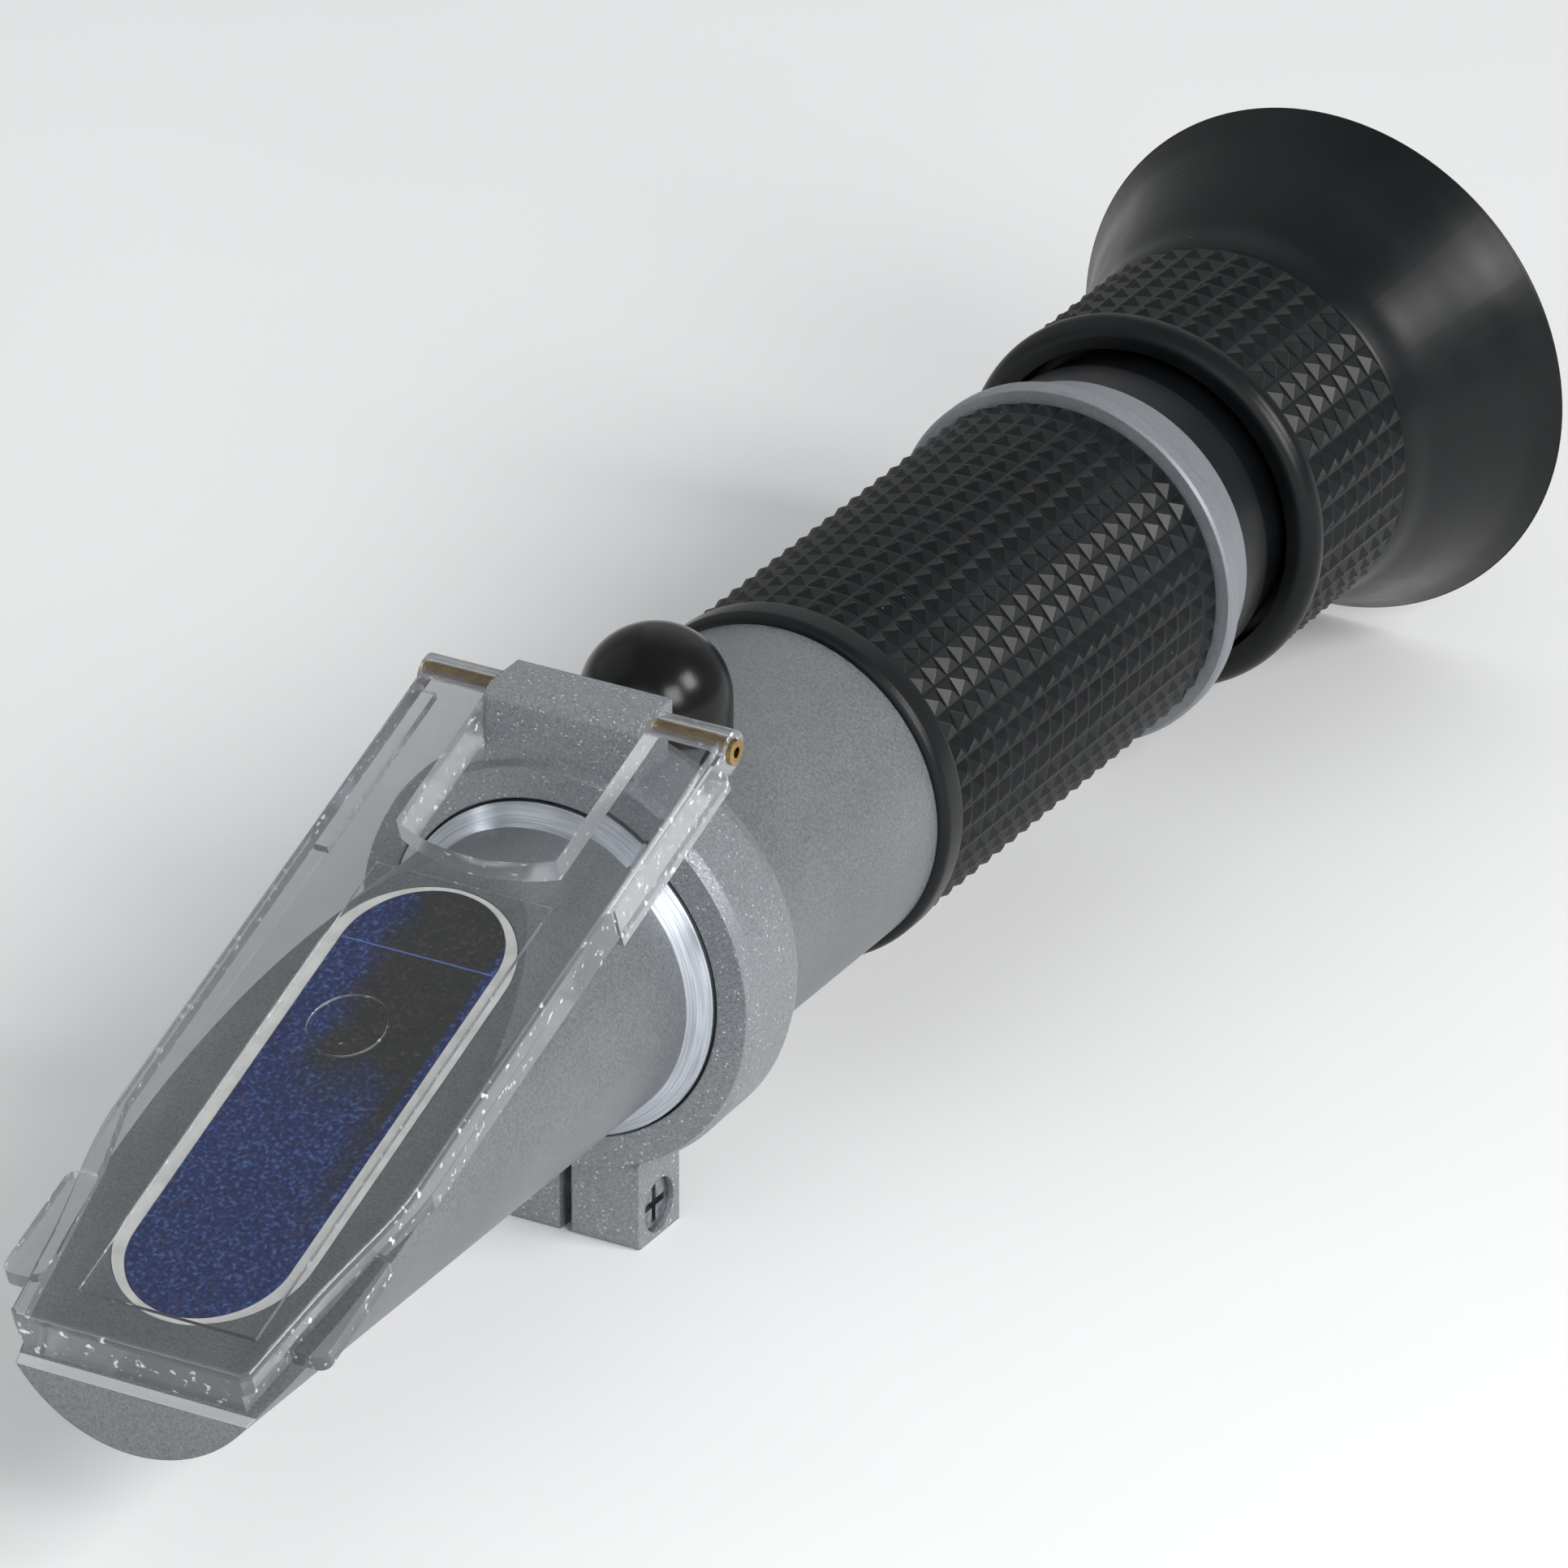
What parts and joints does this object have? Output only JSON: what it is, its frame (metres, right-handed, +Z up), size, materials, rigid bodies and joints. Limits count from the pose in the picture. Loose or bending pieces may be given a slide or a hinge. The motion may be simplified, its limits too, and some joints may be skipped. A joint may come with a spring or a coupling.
{
  "type": "hand-held refractometer",
  "caption": "Hand-held optical refractometer with slanted prism, hinged clear daylight plate, rubber grip and focusing eyecup.",
  "frame": {"origin": "under the middle of the length, on the surface that the instrument lies on, with its clamp lug and eyecup rim down", "axes": "+Y along the tube from the prism to the eyecup, +Z up through the calibration cap, +X to the right seen from the prism end"},
  "size_m": [0.041, 0.1731, 0.0421],
  "materials": {
    "satin_grey_paint": "satin",
    "sparkle_grey_paint": "satin, fine metallic grain",
    "turned_aluminium": "bright turned",
    "light_grey_anodised": "satin anodised",
    "brass": "polished",
    "steel": "machined",
    "black_rubber": "satin moulded",
    "black_plastic": "satin",
    "clear_acrylic": "clear polished",
    "prism_glass": "polished",
    "lens_glass": "polished",
    "seal_compound": "cured sealing compound",
    "black_anodised": "matt black anodised",
    "bimetal": "rolled strip"
  },
  "bodies": {
    "barrel": {"prism_housing": "satin_grey_paint", "prism_seal": "seal_compound", "prism": "prism_glass", "front_baffle": "black_anodised", "mount_ring": "turned_aluminium", "housing_o_ring": "black_rubber", "main_tube": "satin_grey_paint", "grip_sleeve": "black_rubber", "tube_baffle": "black_anodised", "clamp_collar": "sparkle_grey_paint", "clamp_screw": "steel", "hinge_pin": "brass", "screw_boss": "black_anodised", "eyepiece_flange": "light_grey_anodised", "reticle": "lens_glass", "reticle_retaining_ring": "black_anodised", "eyepiece_guide_tube": "black_plastic"},
    "daylight_plate": {"daylight_plate": "clear_acrylic"},
    "calibration_cap": {"calibration_cap": "black_rubber"},
    "calibration_screw": {"calibration_screw": "brass", "screw_retainer": "steel"},
    "objective": {"objective_carriage": "black_anodised", "objective_cell": "black_anodised", "bimetal_strips": "bimetal", "bimetal_screws": "steel", "objective_lens": "lens_glass", "objective_retaining_ring": "black_anodised"},
    "ocular": {"ocular_barrel": "black_plastic", "guide_pins": "steel", "field_lens": "lens_glass", "lens_spacer": "black_anodised", "eye_lens": "lens_glass", "ocular_retaining_ring": "black_anodised"},
    "focus_ring": {"focus_sleeve": "black_plastic", "sleeve_retaining_ring": "black_anodised", "eyecup": "black_rubber"}
  },
  "joints": [
    {"name": "plate_hinge", "type": "hinge", "parent": "barrel", "child": "daylight_plate", "pos_m": [0, -0.02585, 0.04], "axis": [-1, 0, 0], "range_deg": [0, 110]},
    {"name": "cap_pull", "type": "slide", "parent": "barrel", "child": "calibration_cap", "axis": [0, 0, 1], "range_m": [0, 0.015]},
    {"name": "calibration_turn", "type": "hinge", "parent": "barrel", "child": "calibration_screw", "pos_m": [0, -0.01525, 0.0345], "axis": [0, 0, 1], "range_deg": [-180, 180]},
    {"name": "objective_shift", "type": "slide", "parent": "barrel", "child": "objective", "axis": [0, 0, 1], "range_m": [-0.00025, 0.00025]},
    {"name": "ocular_slide", "type": "slide", "parent": "barrel", "child": "ocular", "axis": [0, 1, 0], "range_m": [-0.0017, 0.0017]},
    {"name": "focus_turn", "type": "hinge", "parent": "ocular", "child": "focus_ring", "pos_m": [0, 0.06465, 0.0215], "axis": [0, 1, 0], "range_deg": [-150, 150]}
  ],
  "couplings": [
    {"joint": "ocular_slide", "follows": "focus_turn", "m_per_rad": 0.00063662},
    {"joint": "calibration_turn", "follows": "objective_shift", "rad_per_m": 12566}
  ]
}
